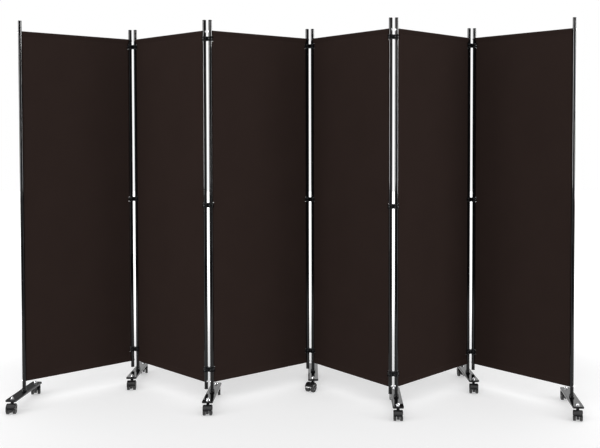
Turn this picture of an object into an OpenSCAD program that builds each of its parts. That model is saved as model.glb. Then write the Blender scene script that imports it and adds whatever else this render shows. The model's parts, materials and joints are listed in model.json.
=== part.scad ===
// Folding room divider. Six fabric panels stand in a zigzag on seven turning feet with casters.
// Each hinge is three clips with two eyes, so a clip turns on both of the posts that it joins.
// All lengths are in millimetres and all turns in degrees.

/* [Overall] */
// Height of the post tops above the floor
total_h = 1730; // [1500:10:2000]
// Width of one panel, between the axes of its two posts
panel_w = 540; // [460:5:700]
// How far the posts stand above the fabric
post_above_fabric = 46; // [20:1:100]
// Height of the fabric's lower edge above the floor
fabric_low = 102; // [92:1:250]

/* [Standing pose] */
// Turn of the first panel away from the line of the screen
turn_1 = 41; // [30:1:55]
// Turn of the second panel, the other way
turn_2 = 43; // [30:1:55]
// Turn of the third panel
turn_3 = 39; // [30:1:55]
// Turn of the fourth panel
turn_4 = 49; // [30:1:55]
// Turn of the fifth panel
turn_5 = 46; // [30:1:55]
// Turn of the sixth panel
turn_6 = 46; // [30:1:55]

/* [Panel frames] */
// Outer diameter of a post
post_d = 16; // [14:0.5:19]
// Wall of a post
post_wall = 1; // [0.8:0.1:1.6]
// Diameter of a cross rail
rail_d = 10; // [9:0.5:12]
// Tapped bore along a cross rail
rail_bore_d = 5; // [4:0.5:6]
// Diameter of a rail screw's head
screw_head_d = 8.5; // [7:0.5:10]
// Height of a rail screw's head
screw_head_h = 2.8; // [2:0.1:3.4]
// How far a rail screw reaches into its rail
screw_grip = 14; // [8:1:25]
// Thickness of the caps and plugs where they cover a post's end
cap_t = 3; // [2:0.5:6]
// Depth of the caps, plugs and inserts inside a post
cap_depth = 14; // [8:1:30]

/* [Fabric] */
// Thickness of the fabric
fabric_t = 1; // [0.6:0.1:1.6]
// Gap between the fabric's side edge and the post
fabric_side_gap = 0.5; // [0.3:0.1:3]
// Room for the rail inside its sleeve
sleeve_play = 0.2; // [0.1:0.05:0.5]

/* [Hinge clips] */
// Gap between the two posts of a hinge
hinge_gap = 10; // [9:0.5:16]
// Height of a clip
clip_h = 20; // [16:1:30]
// Wall of a clip at its waist
clip_wall = 3.5; // [2.5:0.5:4]
// How far a clip's flared rim stands out from its waist
clip_flare = 2.5; // [1:0.5:3]
// Thickness of a flared rim at its edge
clip_rim_t = 2.5; // [1.5:0.5:3]
// Thickness of the web between the two eyes
clip_web_t = 9; // [6:0.5:12]
// Drop of the top clip's middle below the fabric's upper edge
clip_top_drop = 38; // [28:1:120]
// Rise of the bottom clip's middle above the fabric's lower edge
clip_low_rise = 60; // [30:1:150]
// Room between a clip and the fabric's notch
clip_notch_room = 1; // [0.5:0.5:3]

/* [Feet] */
// Length of a foot
foot_l = 290; // [220:5:320]
// Width of a foot
foot_w = 49; // [42:1:56]
// Depth of a foot's pressed edge, with its sheet
foot_edge = 8; // [6:0.5:12]
// Sheet that a foot is pressed from
foot_sheet = 2; // [1.5:0.5:3]
// Radius of a foot's corners
foot_corner = 8; // [4:1:16]
// Height of the cup that a post stands in
cup_h = 11; // [8:1:12]
// Wall of the cup
cup_wall = 3; // [2:0.5:4]
// Diameter of the bolt that holds a foot to its post
foot_bolt_d = 8; // [6:1:9]
// Gap under a short post, between its plug and the foot
short_post_gap = 12; // [11:0.5:16]

/* [Casters] */
// Wheel diameter
wheel_d = 42; // [36:1:50]
// Width of one wheel
wheel_w = 12.5; // [10:0.5:16]
// Gap between the two wheels of a caster
wheel_gap = 16; // [15:0.5:22]
// Distance from the swivel's axis back to the axle
caster_trail = 21; // [18:0.5:24]
// Gap between a wheel and its hood
hood_gap = 1.3; // [1:0.1:2.5]
// Wall of the hood
hood_wall = 2.7; // [2:0.1:4]
// Diameter of the axle
axle_d = 5; // [4:0.5:7]
// Diameter of the stud that a caster swivels on
stud_d = 8; // [6:0.5:9]
// Diameter of the collar between a caster and its foot
collar_d = 12; // [10:0.5:16]
// Height of that collar
collar_h = 12; // [10:0.5:20]
// Distance from a foot's end to its stud
stud_inset = 22; // [18:1:30]
// Width of the domed nut across its flats
nut_w = 12; // [10:0.5:14]
// Height of the domed nut
nut_h = 9; // [7:0.5:11]

/* [Hidden] */
$fn = 48;
PANELS = 6;
RUN = 0.08; // radial clearance of a running fit
SEAT = 0.3; // gap between pieces that slide over each other
FIT = 0.05; // gap between pieces that are fixed to each other
CUT = 1; // how far a cutter reaches past what it cuts
SCREW_DOME = 1.6; // a rail screw's head is cut from a dome this many times its height
BOLT_HEAD = 0.85; // radius of a foot bolt's head, in diameters of the bolt
HOOD_RISE = 0.25; // height of the hood's lower edge above the axle, in wheel radii
WEB_DROP = 0.42; // depth of the caster's web below the axle, in wheel radii

post_r = post_d / 2;
rail_r = rail_d / 2;
screw_r = rail_bore_d / 2 - FIT;
spigot_r = post_r - post_wall - 2 * FIT;
sleeve_r = rail_r + sleeve_play + fabric_t;
fabric_top = total_h - post_above_fabric;
rail_heights = [fabric_low + sleeve_r, fabric_top - sleeve_r];

wheel_r = wheel_d / 2;
hood_in = wheel_r + hood_gap;
hood_r = hood_in + hood_wall;
caster_w = wheel_gap + 2 * wheel_w;
caster_top = wheel_r + hood_r;
wheel_edge = 2.5; // rounding of a wheel's tread
wheel_dish = 2; // depth of the ring-shaped dish in a wheel's outer side
wheel_side_room = 2; // room between a wheel and the web, and from the axle's end to the wheel's outer side
hub_wall = 4; // wall of a wheel's hub round the axle
web_t = wheel_gap - 2 * wheel_side_room;
boss_r = wheel_gap / 2 - wheel_side_room / 2;
boss_h = 22;
stud_floor = 2; // thickness of the boss below the stud

foot_under = caster_top + SEAT + collar_h;
foot_top = foot_under + foot_sheet;
stud_x = foot_l / 2 - stud_inset;
cup_r = post_r + RUN + cup_wall;
nut_chamfer = 0.6; // how far the nut's dome stands in from its flats
short_end = foot_top + short_post_gap;

clip_pitch = post_d + hinge_gap;
clip_waist_r = post_r + RUN + clip_wall;
clip_rim_r = clip_waist_r + clip_flare;
clip_slope = clip_flare + 1.5; // height over which a flare runs out into the waist
clip_top = fabric_top - clip_top_drop;
clip_low = fabric_low + clip_low_rise;
clip_heights = [clip_low, (clip_low + clip_top) / 2, clip_top];

// Posts are numbered 0 to 11 from the left. A foot stands under these seven, and the others end short.
FOOTED = [0, 2, 4, 6, 8, 9, 11];
// How the feet, and the casters on them, happen to point in the photograph
FOOT_TURN = [-3.5, 0, 0, 2, 0, 4, -3.5];
FRONT_TURN = [12, 7, 4, -32, -2, -9, -10];
BACK_TURN = [20, 13, 8, 0, 0, 0, -3];

turns = [turn_1, -turn_2, turn_3, -turn_4, turn_5, -turn_6];

function heading(a) = [cos(a), sin(a)];
function link_turn(k) = (turns[k] + turns[k + 1]) / 2;
function chain(k) = k == 0
    ? [0, 0]
    : chain(k - 1) + panel_w * heading(turns[k - 1]) + clip_pitch * heading(link_turn(k - 1));
function chain_post(j) = chain(floor(j / 2)) + (j % 2) * panel_w * heading(turns[floor(j / 2)]);

footed_y = [for (j = FOOTED) chain_post(j)[1]];
middle = [(chain_post(0)[0] + chain_post(2 * PANELS - 1)[0]) / 2, (min(footed_y) + max(footed_y)) / 2];
function post_at(j) = chain_post(j) - middle;
function has_foot(j) = len(search(j, FOOTED)) > 0;

// Panel frames. A panel's own X runs from its left post to its right one.

module on_panel(k) {
    translate(concat(post_at(2 * k), [0])) rotate([0, 0, turns[k]]) children();
}

module post(foot) {
    low = foot ? foot_top + SEAT : short_end + cap_t;
    difference() {
        translate([0, 0, low + FIT]) cylinder(r = post_r, h = total_h - cap_t - low - 2 * FIT);
        translate([0, 0, low - CUT]) cylinder(r = post_r - post_wall, h = total_h);
        for (z = rail_heights)
            translate([-post_r - CUT, 0, z]) rotate([0, 90, 0])
                cylinder(r = screw_r + 2 * FIT, h = post_d + 2 * CUT);
    }
}

// A cap or plug whose flat end faces down; its spigot stands up inside the post.
module plug() {
    cylinder(r = post_r, h = cap_t);
    translate([0, 0, cap_t]) cylinder(r = spigot_r, h = cap_depth);
}

// The insert in a footed post's lower end, tapped for the foot bolt
module insert() {
    difference() {
        cylinder(r = spigot_r, h = cap_depth);
        translate([0, 0, -CUT]) cylinder(r = foot_bolt_d / 2 + RUN, h = cap_depth + 2 * CUT);
    }
}

module rail() {
    difference() {
        rotate([0, 90, 0]) cylinder(r = rail_r, h = panel_w);
        translate([-CUT, 0, 0]) rotate([0, 90, 0]) cylinder(r = rail_bore_d / 2, h = panel_w + 2 * CUT);
        for (x = [0, panel_w])
            translate([x, 0, -rail_r - CUT]) cylinder(r = post_r + FIT, h = rail_d + 2 * CUT);
    }
}

// A rail screw at the left post; its head lies against the post's outer side.
module rail_screw() {
    head_r = screw_head_d / 2;
    rotate([0, 90, 0]) {
        translate([0, 0, -post_r - FIT]) cylinder(r = screw_r, h = post_d + screw_grip);
        translate([0, 0, -post_r - FIT - screw_head_h]) rotate_extrude() intersection() {
            translate([0, SCREW_DOME * screw_head_h]) scale([1, SCREW_DOME * screw_head_h / head_r])
                circle(r = head_r);
            square([head_r, screw_head_h]);
        }
    }
}

module panel_frame(k) {
    color([0.06, 0.06, 0.065]) on_panel(k) {
        for (side = [0, 1]) translate([side * panel_w, 0, 0]) {
            foot = has_foot(2 * k + side);
            post(foot);
            translate([0, 0, total_h]) mirror([0, 0, 1]) plug();
            if (foot)
                translate([0, 0, foot_top + SEAT]) insert();
            else
                translate([0, 0, short_end]) plug();
        }
        for (z = rail_heights) {
            translate([0, 0, z]) {
                rail();
                rail_screw();
                translate([panel_w, 0, 0]) mirror([1, 0, 0]) rail_screw();
            }
        }
    }
}

// Fabric: a flat sheet with a sleeve for each rail and a notch round each clip; the two end posts have none

module panel_fabric(k) {
    inset = post_r + fabric_side_gap;
    width = panel_w - 2 * inset;
    notch = clip_rim_r + clip_notch_room;
    clipped = [if (k > 0) 0, if (k < PANELS - 1) panel_w];
    color([0.17, 0.13, 0.12]) on_panel(k) difference() {
        union() {
            translate([inset, -fabric_t / 2, rail_heights[0]])
                cube([width, fabric_t, rail_heights[1] - rail_heights[0]]);
            for (z = rail_heights)
                translate([inset, 0, z]) rotate([0, 90, 0]) cylinder(r = sleeve_r, h = width);
        }
        for (z = rail_heights)
            translate([inset - CUT, 0, z]) rotate([0, 90, 0])
                cylinder(r = rail_r + sleeve_play, h = width + 2 * CUT);
        for (z = clip_heights, x = clipped)
            translate([x - notch, -fabric_t, z - clip_h / 2 - clip_notch_room])
                cube([2 * notch, 2 * fabric_t, clip_h + 2 * clip_notch_room]);
    }
}

// Hinge clips: two flared eyes joined by a web, centred on the link between the posts

module eye() {
    half = clip_h / 2;
    waist = half - clip_rim_t - clip_slope;
    rotate_extrude() polygon([
        [0, -half], [clip_rim_r, -half], [clip_rim_r, clip_rim_t - half],
        [clip_waist_r, -waist], [clip_waist_r, waist],
        [clip_rim_r, half - clip_rim_t], [clip_rim_r, half], [0, half]
    ]);
}

module clip() {
    difference() {
        union() {
            for (x = [0, clip_pitch])
                translate([x, 0, 0]) eye();
            translate([0, -clip_web_t / 2, -clip_h / 2]) cube([clip_pitch, clip_web_t, clip_h]);
        }
        for (x = [0, clip_pitch])
            translate([x, 0, -clip_h]) cylinder(r = post_r + RUN, h = 2 * clip_h);
    }
}

module hinge_clips(k) {
    color([0.09, 0.09, 0.095])
        translate(concat(post_at(2 * k + 1), [0])) rotate([0, 0, link_turn(k)])
            for (z = clip_heights)
                translate([0, 0, z]) clip();
}

// Feet. A foot's own Y runs from its front end to its back end.

module on_foot(f) {
    translate(concat(post_at(FOOTED[f]), [0])) rotate([0, 0, FOOT_TURN[f]]) children();
}

module rounded_plate(l, w, r, h) {
    linear_extrude(h) {
        square([w - 2 * r, l], center = true);
        square([w, l - 2 * r], center = true);
        for (x = [-1, 1], y = [-1, 1])
            translate([x * (w / 2 - r), y * (l / 2 - r)]) circle(r = r);
    }
}

module foot_channel() {
    difference() {
        union() {
            translate([0, 0, foot_top - foot_edge]) rounded_plate(foot_l, foot_w, foot_corner, foot_edge);
            cylinder(r = cup_r, h = foot_top + cup_h);
        }
        translate([0, 0, -CUT]) rounded_plate(
            foot_l - 2 * foot_sheet, foot_w - 2 * foot_sheet, foot_corner - foot_sheet, foot_under + CUT
        );
        translate([0, 0, foot_top]) cylinder(r = post_r + RUN, h = cup_h + CUT);
        cylinder(r = foot_bolt_d / 2 + RUN, h = foot_top + CUT);
        for (y = [-stud_x, stud_x])
            translate([0, y, 0]) cylinder(r = stud_d / 2 + RUN, h = foot_top + CUT);
    }
}

// The bolt that holds a foot to its post; its head lies under the sheet.
module foot_bolt() {
    head_h = foot_bolt_d / 2;
    translate([0, 0, foot_under - FIT - head_h]) {
        cylinder(r = BOLT_HEAD * foot_bolt_d, h = head_h);
        cylinder(r = foot_bolt_d / 2, h = head_h + foot_sheet + cap_depth);
    }
}

module foot(f) {
    color([0.07, 0.07, 0.075]) on_foot(f) {
        foot_channel();
        foot_bolt();
    }
}

// A stud with its collar, and the domed nut that clamps it to the sheet

module stud() {
    low = caster_top - boss_h + stud_floor + SEAT;
    translate([0, 0, low]) cylinder(r = stud_d / 2, h = foot_top + nut_h / 2 - low);
    translate([0, 0, caster_top + SEAT]) cylinder(r = collar_d / 2, h = collar_h);
}

module domed_nut() {
    hex_h = nut_h / 2;
    dome_r = nut_w / 2 - nut_chamfer;
    difference() {
        union() {
            cylinder(r = nut_w / 2 / cos(30), h = hex_h, $fn = 6);
            intersection() {
                translate([0, 0, nut_h - dome_r]) sphere(r = dome_r);
                translate([0, 0, hex_h / 2]) cylinder(r = dome_r + CUT, h = nut_h);
            }
        }
        translate([0, 0, -CUT]) cylinder(r = stud_d / 2 + FIT, h = hex_h + CUT + SEAT);
    }
}

module foot_studs(f) {
    color([0.75, 0.76, 0.78]) on_foot(f)
        for (y = [-stud_x, stud_x]) translate([0, y, 0]) {
            stud();
            translate([0, 0, foot_top]) domed_nut();
        }
}

// Casters. A caster's own X runs from its swivel's axis back to its axle.

module on_caster(f, end) {
    front = end == "front";
    angle = front ? -90 + FRONT_TURN[f] : 90 + BACK_TURN[f];
    on_foot(f) translate([0, front ? -stud_x : stud_x, 0]) rotate([0, 0, angle]) children();
}

module hood_outline() {
    difference() {
        circle(r = hood_r);
        circle(r = hood_in);
        below(HOOD_RISE * wheel_r);
    }
}

// A cutter for a caster's outline: everything lower than y
module below(y) {
    reach = hood_r + CUT;
    translate([-reach, -reach]) square([2 * reach, reach + y]);
}

module caster_housing(f, end) {
    color([0.08, 0.08, 0.085]) on_caster(f, end) difference() {
        union() {
            translate([caster_trail, 0, wheel_r]) rotate([90, 0, 0]) {
                linear_extrude(caster_w, center = true) hood_outline();
                linear_extrude(web_t, center = true) difference() {
                    circle(r = hood_r);
                    below(-WEB_DROP * wheel_r);
                }
            }
            translate([0, 0, caster_top - boss_h]) cylinder(r = boss_r, h = boss_h);
            translate([0, -boss_r, caster_top - boss_h / 2]) cube([caster_trail, 2 * boss_r, boss_h / 2]);
        }
        translate([0, 0, caster_top - boss_h + stud_floor]) cylinder(r = stud_d / 2 + RUN, h = boss_h);
        translate([caster_trail, caster_w, wheel_r]) rotate([90, 0, 0])
            cylinder(r = axle_d / 2 + RUN, h = 2 * caster_w);
    }
}

module wheel() {
    hub_r = axle_d / 2 + hub_wall;
    bore_h = wheel_w - wheel_side_room;
    rotate_extrude() difference() {
        union() {
            square([wheel_r - wheel_edge, wheel_w]);
            translate([0, wheel_edge]) square([wheel_r, wheel_w - 2 * wheel_edge]);
            for (y = [wheel_edge, wheel_w - wheel_edge])
                translate([wheel_r - wheel_edge, y]) circle(r = wheel_edge);
        }
        translate([hub_r, wheel_w - wheel_dish])
            square([wheel_r - 2 * wheel_edge - hub_r, wheel_dish + CUT]);
        translate([-CUT, -CUT]) square([axle_d / 2 + FIT + CUT, bore_h + CUT]);
    }
}

module caster_wheels(f, end) {
    color([0.1, 0.1, 0.105]) on_caster(f, end) translate([caster_trail, 0, wheel_r]) rotate([90, 0, 0]) {
        for (side = [0, 1]) mirror([0, 0, side])
            translate([0, 0, wheel_gap / 2]) wheel();
        cylinder(r = axle_d / 2, h = caster_w - 2 * (wheel_side_room + SEAT), center = true);
    }
}

for (k = [0:PANELS - 1]) {
    panel_frame(k);
    panel_fabric(k);
}
for (k = [0:PANELS - 2])
    hinge_clips(k);
for (f = [0:len(FOOTED) - 1]) {
    foot(f);
    foot_studs(f);
    for (end = ["front", "back"]) {
        caster_housing(f, end);
        caster_wheels(f, end);
    }
}
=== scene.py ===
# %% [markdown]
# # A folding room divider
# Six fabric panels stand in a zigzag. Each has a steel post at both sides, clips join the posts of two
# neighbours, and seven pressed feet with twin-wheel casters carry the screen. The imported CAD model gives
# every place and every joint. This script dresses it: each piece is a surface worked out with numpy.

# %% Load the frame
import json
import math

import bmesh
import bpy
import numpy as np
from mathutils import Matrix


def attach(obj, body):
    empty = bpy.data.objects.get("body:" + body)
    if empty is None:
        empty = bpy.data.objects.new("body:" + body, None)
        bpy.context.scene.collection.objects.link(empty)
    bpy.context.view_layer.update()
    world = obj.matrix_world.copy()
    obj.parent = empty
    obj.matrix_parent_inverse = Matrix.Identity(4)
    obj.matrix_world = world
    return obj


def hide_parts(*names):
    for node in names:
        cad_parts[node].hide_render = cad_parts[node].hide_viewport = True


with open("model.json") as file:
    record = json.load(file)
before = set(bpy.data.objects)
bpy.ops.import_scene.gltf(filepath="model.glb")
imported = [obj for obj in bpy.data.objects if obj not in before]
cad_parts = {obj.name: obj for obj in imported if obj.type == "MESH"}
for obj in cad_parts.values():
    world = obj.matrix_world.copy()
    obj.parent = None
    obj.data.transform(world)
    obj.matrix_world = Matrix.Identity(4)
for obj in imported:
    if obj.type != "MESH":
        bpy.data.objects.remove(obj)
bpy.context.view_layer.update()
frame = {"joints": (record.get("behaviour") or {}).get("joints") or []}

# %% [markdown]
# ## Where everything stands
# The joints of the frame say where each post, caster and axle is, so no place is typed twice. A post is the
# axis of a hinge eye or of a foot. A panel's direction is the line between its two posts.

# %% Posts, panels and casters
PANELS, HINGES = 6, 5
FOOTED = [0, 2, 4, 6, 8, 9, 11]
pivot = {joint["name"]: np.array(joint["pos_m"]) for joint in frame["joints"]}
post_xy = [pivot["foot_1_turn"][:2]]
for hinge in range(1, HINGES + 1):
    post_xy += [pivot[f"hinge_{hinge}_left_eye"][:2], pivot[f"hinge_{hinge}_right_eye"][:2]]
post_xy.append(pivot["foot_7_turn"][:2])


def placed(points, origin, heading):
    """Local points, turned so that their X runs along heading and moved to origin."""
    ahead = np.array([heading[0], heading[1], 0.0]) / np.hypot(heading[0], heading[1])
    left = np.array([-ahead[1], ahead[0], 0.0])
    up = np.array([0.0, 0.0, 1.0])
    return points @ np.stack([ahead, left, up]) + np.array([origin[0], origin[1], 0.0])


def panel_frame_of(panel):
    """The left post's place, the panel's heading and its width between the posts' axes."""
    left, right = post_xy[2 * panel - 2], post_xy[2 * panel - 1]
    return left, right - left, float(np.linalg.norm(right - left))


print("posts", len(post_xy), "panel width", round(panel_frame_of(1)[2], 4))

# %% [markdown]
# ## The camera
# The photograph was taken from just right of the screen's middle, 1.2 m above the floor, with a lens that
# would be about 52 mm for a picture 36 mm wide. The camera looks almost level, which keeps the posts upright,
# and the picture's middle is off the lens's axis. The shift stands for that. A fit of the posts, the fabric's
# edges and the feet gave these values.


# %% Camera
def in_scene(name, data):
    """A new object that shows this data, linked to the scene."""
    thing = bpy.data.objects.new(name, data)
    bpy.context.scene.collection.objects.link(thing)
    return thing


PHOTO_W, PHOTO_H = 600, 448
FOCAL_PX = 860.1
CENTRE_PX = (335.2, 160.1)
SENSOR_MM = 36.0
camera_data = bpy.data.cameras.new("photo_camera")
camera_data.sensor_width = SENSOR_MM
camera_data.lens = FOCAL_PX / PHOTO_W * SENSOR_MM
camera_data.shift_x = (PHOTO_W / 2 - CENTRE_PX[0]) / PHOTO_W
camera_data.shift_y = (CENTRE_PX[1] - PHOTO_H / 2) / PHOTO_W
camera_data.dof.use_dof = False
camera = in_scene("photo_camera", camera_data)
camera.location = (0.199, -3.994, 1.226)
camera.rotation_euler = (math.radians(90 - 1.80), math.radians(0.05), math.radians(0.24))
bpy.context.scene.camera = camera
print("lens", round(camera_data.lens, 1), "mm")

# %% [markdown]
# ## From numbers to a mesh
# Every piece is one or more patches. A patch is a grid of points: rows along the shape, columns around it.
# A closed patch joins its last column to its first. A row whose points all lie in one place makes a pole,
# and merging those points turns the quads there into triangles, so each shell ends up closed.


# %% Patches to a piece
def grid_faces(rows, columns, close_columns, close_rows, first):
    """Quads between neighbouring points of a grid, whose point (i, j) has number first + i * columns + j."""
    i = np.arange(rows if close_rows else rows - 1)[:, None]
    j = np.arange(columns if close_columns else columns - 1)[None, :]
    below, above = (i % rows) * columns, ((i + 1) % rows) * columns
    here, beside = j % columns, (j + 1) % columns
    quads = np.stack([below + here, below + beside, above + beside, above + here], axis=-1)
    return quads.reshape(-1, 4) + first


MERGE_WITHIN, CREASE_DEG = 2e-6, 38


def make_piece(name, patches, finish, body, nodes=(), crease=CREASE_DEG, values=None):
    """Builds a piece from patches, (points, close columns, close rows) each, and lets it ride on a body."""
    points, faces, first = [], [], 0
    for grid, close_columns, close_rows in patches:
        rows, columns = grid.shape[:2]
        faces.append(grid_faces(rows, columns, close_columns, close_rows, first))
        points.append(grid.reshape(-1, 3))
        first += rows * columns
    mesh = bpy.data.meshes.new(name)
    mesh.from_pydata(np.concatenate(points), [], np.concatenate(faces))
    if values is not None:
        mesh.attributes.new("wear", "FLOAT", "POINT").data.foreach_set("value", values.astype(np.float32))
    shell = bmesh.new()
    shell.from_mesh(mesh)
    bmesh.ops.remove_doubles(shell, verts=shell.verts, dist=MERGE_WITHIN)
    bmesh.ops.recalc_face_normals(shell, faces=shell.faces)
    shell.to_mesh(mesh)
    shell.free()
    mesh.polygons.foreach_set("use_smooth", np.ones(len(mesh.polygons), dtype=bool))
    mesh.set_sharp_from_angle(angle=math.radians(crease))
    mesh.materials.append(finish)
    piece = in_scene(name, mesh)
    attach(piece, body)
    if nodes:
        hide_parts(*nodes)
    return piece


# %% Circles and lathes
def full_turn(steps):
    """The angles of a circle's points. The last point doesn't repeat the first."""
    return np.linspace(0, 2 * np.pi, steps, endpoint=False)


def grid_of(x, y, z):
    """Three arrays of coordinates, stretched to one grid of points."""
    return np.stack(np.broadcast_arrays(x, y, z), axis=-1)


def lathe(profile, steps=48):
    """A profile of (radius, height) turned about Z: x = r cos a, y = r sin a. Rows run along the profile.

    A radius may also be an array with a value for each angle, as for a hexagon.
    """
    angle = full_turn(steps)
    radius = np.stack([np.broadcast_to(r, steps) for r, _ in profile])
    height = np.array([z for _, z in profile], float)[:, None]
    return grid_of(radius * np.cos(angle), radius * np.sin(angle), height)


def arc(centre, radius, start, stop, steps=6):
    """Points (x, y) of an arc round a centre, from one angle in degrees to another."""
    angle = np.radians(np.linspace(start, stop, steps))
    return [(centre[0] + radius * math.cos(a), centre[1] + radius * math.sin(a)) for a in angle]


# %% Bars
def squared(wave, power):
    """A cosine or sine whose size is raised to a power below 1, which makes a circle squarer."""
    return np.sign(wave) * abs(wave) ** power


def capped(rows):
    """The rows of a bar with a pole in the middle of each end row, which closes the bar."""
    poles = rows[[0, -1]].mean(axis=1, keepdims=True).repeat(rows.shape[1], axis=1)
    return np.concatenate([poles[:1], rows, poles[1:]])


def laid_down(points, way):
    """Points turned so that their Z runs along X, or along -X when way is -1."""
    x, y, z = np.moveaxis(points, -1, 0)
    return grid_of(way * z, way * x, y)


# %% [markdown]
# ## A small language for finishes
# A finish is a node tree. One class wraps a socket, so that a formula such as `0.2 + 0.1 * grain` adds the
# Math nodes by itself. One method adds any other node: its settings come first, then its sockets.


# %% The shader class
class Wire:
    """A value in a material. Arithmetic on it adds Math nodes to the material's tree."""

    def __init__(self, tree, socket=None):
        self.tree, self.socket = tree, socket

    def node(self, kind, settings=None, sockets=None, out=0):
        """Adds a node with its settings, fills or links its sockets, and wraps one of its outputs."""
        node = self.tree.nodes.new(kind)
        for name, value in (settings or {}).items():
            setattr(node, name, value)
        for name, value in (sockets or {}).items():
            if isinstance(value, Wire):
                self.tree.links.new(value.socket, node.inputs[name])
            else:
                node.inputs[name].default_value = value
        return Wire(self.tree, node.outputs[out])

    def output(self, name):
        """Another output of the same node."""
        return Wire(self.tree, self.socket.node.outputs[name])

    def math(self, operation, a, b=0.0):
        return self.node("ShaderNodeMath", {"operation": operation}, {0: a, 1: b})

    def __add__(self, other):
        return self.math("ADD", self, other)

    def __sub__(self, other):
        return self.math("SUBTRACT", self, other)

    def __rsub__(self, other):
        return self.math("SUBTRACT", other, self)

    def __mul__(self, other):
        return self.math("MULTIPLY", self, other)

    __radd__, __rmul__ = __add__, __mul__

    def between(self, low, high):
        """0 below low, 1 above high, and a smooth step from one to the other."""
        return self.node(
            "ShaderNodeMapRange", {"interpolation_type": "SMOOTHSTEP"},
            {"Value": self, "From Min": low, "From Max": high},
        )


# %% Helpers for finishes
def new_finish(name, settings):
    """A material with one Principled shader, whose plain values are set on its own sockets."""
    material = bpy.data.materials.new(name)
    material.use_nodes = True
    tree = material.node_tree
    shader = tree.nodes["Principled BSDF"]
    for socket, value in settings.items():
        shader.inputs[socket].default_value = value
    return material, Wire(tree), shader


def feed(wire, shader, socket, value):
    wire.tree.links.new(value.socket, shader.inputs[socket])


def object_place(wire):
    """Object coordinates, which are metres in the scene, because each piece sits at the origin."""
    return wire.node("ShaderNodeTexCoord").output("Object")


def noise(wire, place, scale, detail=3.0):
    return wire.node("ShaderNodeTexNoise", sockets={"Vector": place, "Scale": scale, "Detail": detail})


def mixed(wire, share, first, second):
    """A colour between two colours: share 0 gives the first."""
    return wire.node(
        "ShaderNodeMix", {"data_type": "RGBA"}, {0: share, 6: (*first, 1.0), 7: (*second, 1.0)}, out=2
    )


def bumped(wire, shader, height, strength, distance):
    feed(wire, shader, "Normal", wire.node(
        "ShaderNodeBump", sockets={"Height": height, "Strength": strength, "Distance": distance}))


# %% [markdown]
# ## Black gloss paint
# Posts, rails and feet are steel with a baked black paint. It is nearly mirror smooth, with a faint ripple
# that paint gets as it flows, clouds of a little more or less gloss, and fine dust that dulls it in places.


# %% Gloss paint
def gloss_paint(name, shade, gloss, ripple, ior):
    """Gloss is the mean roughness, which clouds change a little and dust doubles. Ripple feeds a Bump."""
    material, wire, shader = new_finish(name, {"IOR": ior})
    place = object_place(wire)
    cloud = noise(wire, place, 9.0)
    speck = noise(wire, place, 420.0, 1.0)
    dust = speck.between(0.62, 0.75)
    feed(wire, shader, "Base Color", mixed(
        wire, cloud * 0.35 + dust * 0.35, shade, tuple(2.6 * c for c in shade)))
    feed(wire, shader, "Roughness", gloss * (0.6 + 0.8 * cloud + dust))
    bumped(wire, shader, noise(wire, place, 260.0, 1.0), ripple, 0.0004)
    return material


BLACK_PAINT = (0.0020, 0.0020, 0.0023)
post_paint = gloss_paint("post_paint", BLACK_PAINT, 0.05, 0.02, 1.40)
foot_paint = gloss_paint("foot_paint", BLACK_PAINT, 0.008, 0.005, 1.45)
print("paints made")

# %% [markdown]
# ## Moulded plastic
# Clips, caps and casters are black plastic. Their skin has the fine grain of the mould, and edges that get
# touched are a little paler and smoother. The wear comes with the mesh as a value per point.


# %% Plastic
def plastic(name, shade, worn_shade, rough, grain_scale, grain, sheen):
    """Worn places are paler and smoother; grain is the strength of the mould's texture."""
    material, wire, shader = new_finish(name, {"IOR": 1.48, "Specular IOR Level": sheen})
    place = object_place(wire)
    cloud = noise(wire, place, 55.0)
    wear = wire.node("ShaderNodeAttribute", {"attribute_name": "wear"}, out=2) * cloud.between(0.35, 0.65)
    feed(wire, shader, "Base Color", mixed(wire, wear * 0.8 + cloud * 0.15, shade, worn_shade))
    feed(wire, shader, "Roughness", rough + 0.10 * cloud - 0.08 * wear)
    bumped(wire, shader, noise(wire, place, grain_scale, 2.0), grain, 0.0003)
    return material


clip_plastic = plastic(
    "clip_plastic", (0.0025, 0.0025, 0.0028), (0.008, 0.008, 0.009), 0.14, 900.0, 0.10, 0.2)
caster_plastic = plastic(
    "caster_plastic", (0.0060, 0.0060, 0.0064), (0.020, 0.020, 0.021), 0.16, 1100.0, 0.14, 0.6)
wheel_plastic = plastic(
    "wheel_plastic", (0.0070, 0.0070, 0.0073), (0.026, 0.025, 0.024), 0.22, 700.0, 0.20, 0.6)
print("plastics made")

# %% [markdown]
# ## Zinc plate and blackened steel
# The nuts and rail screws are bright zinc-plated steel. The bolt and collars under each foot are blackened.
# Both are metals, so their colour is in the reflection, with a faint mottle and a fine grain.


# %% Metals
def metal(name, bright, dull, rough, metallic):
    material, wire, shader = new_finish(name, {"Metallic": metallic})
    place = object_place(wire)
    mottle = noise(wire, place, 380.0)
    feed(wire, shader, "Base Color", mixed(wire, mottle.between(0.35, 0.75), bright, dull))
    feed(wire, shader, "Roughness", rough + 0.12 * mottle)
    bumped(wire, shader, noise(wire, place, 1500.0, 1.0), 0.06, 0.0002)
    return material


zinc = metal("zinc_plate", (0.95, 0.95, 0.96), (0.82, 0.83, 0.85), 0.22, 0.80)
black_steel = metal("black_steel", (0.030, 0.030, 0.032), (0.06, 0.06, 0.06), 0.30, 1.0)
print("metals made")

# %% [markdown]
# ## The cloth's finish
# The panels are a plain-woven polyester of very dark brown. Over and under, a thread crosses every half
# millimetre. The pattern is drawn in the cloth's own map, whose unit is one metre of cloth, so that it
# follows the sleeves. Streaks along both threads and a slow mottle keep it from looking printed.

# %% Cloth
THREAD_M = 0.0011
BROWN = (0.0246, 0.0163, 0.0141)


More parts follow.
